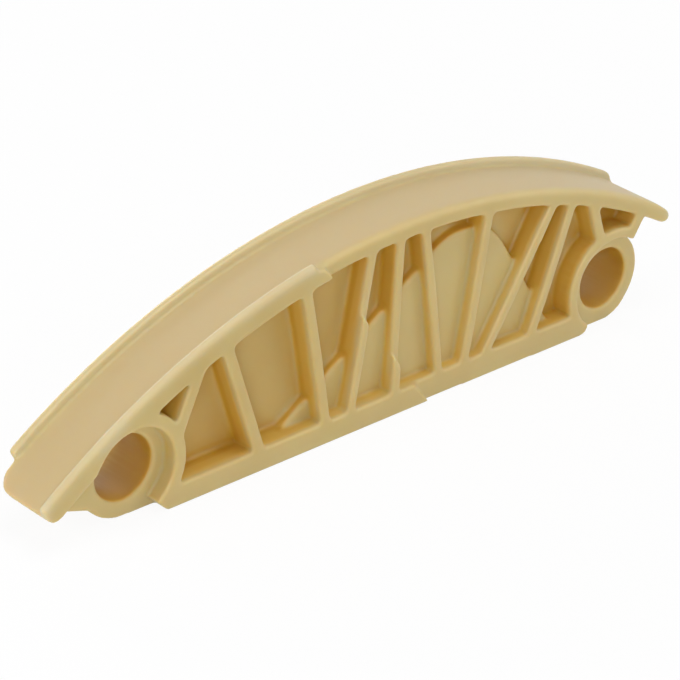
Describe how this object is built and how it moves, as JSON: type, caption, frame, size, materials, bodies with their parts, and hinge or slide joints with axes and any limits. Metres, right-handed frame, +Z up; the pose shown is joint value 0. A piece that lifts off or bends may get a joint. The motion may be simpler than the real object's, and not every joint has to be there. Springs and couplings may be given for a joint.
{
  "type": "timing chain guide",
  "caption": "Curved guide rail of moulded plastic: a lipped running floor for a chain, on a ribbed web with a round pivot boss near each end.",
  "frame": {"origin": "middle of the bounding box at its bottom, level with the flat underside of the rail", "axes": "+X runs along the rail towards the end with the free nose, +Y runs from the stepped front face to the back, +Z points up to the crown of the running floor"},
  "size_m": [0.148, 0.015, 0.0381],
  "materials": {
    "moulded_plastic": "satin undyed nylon moulding, straw yellow, slightly translucent, unmarked"
  },
  "bodies": {
    "root": {"chain_guide": "moulded_plastic"}
  },
  "joints": []
}
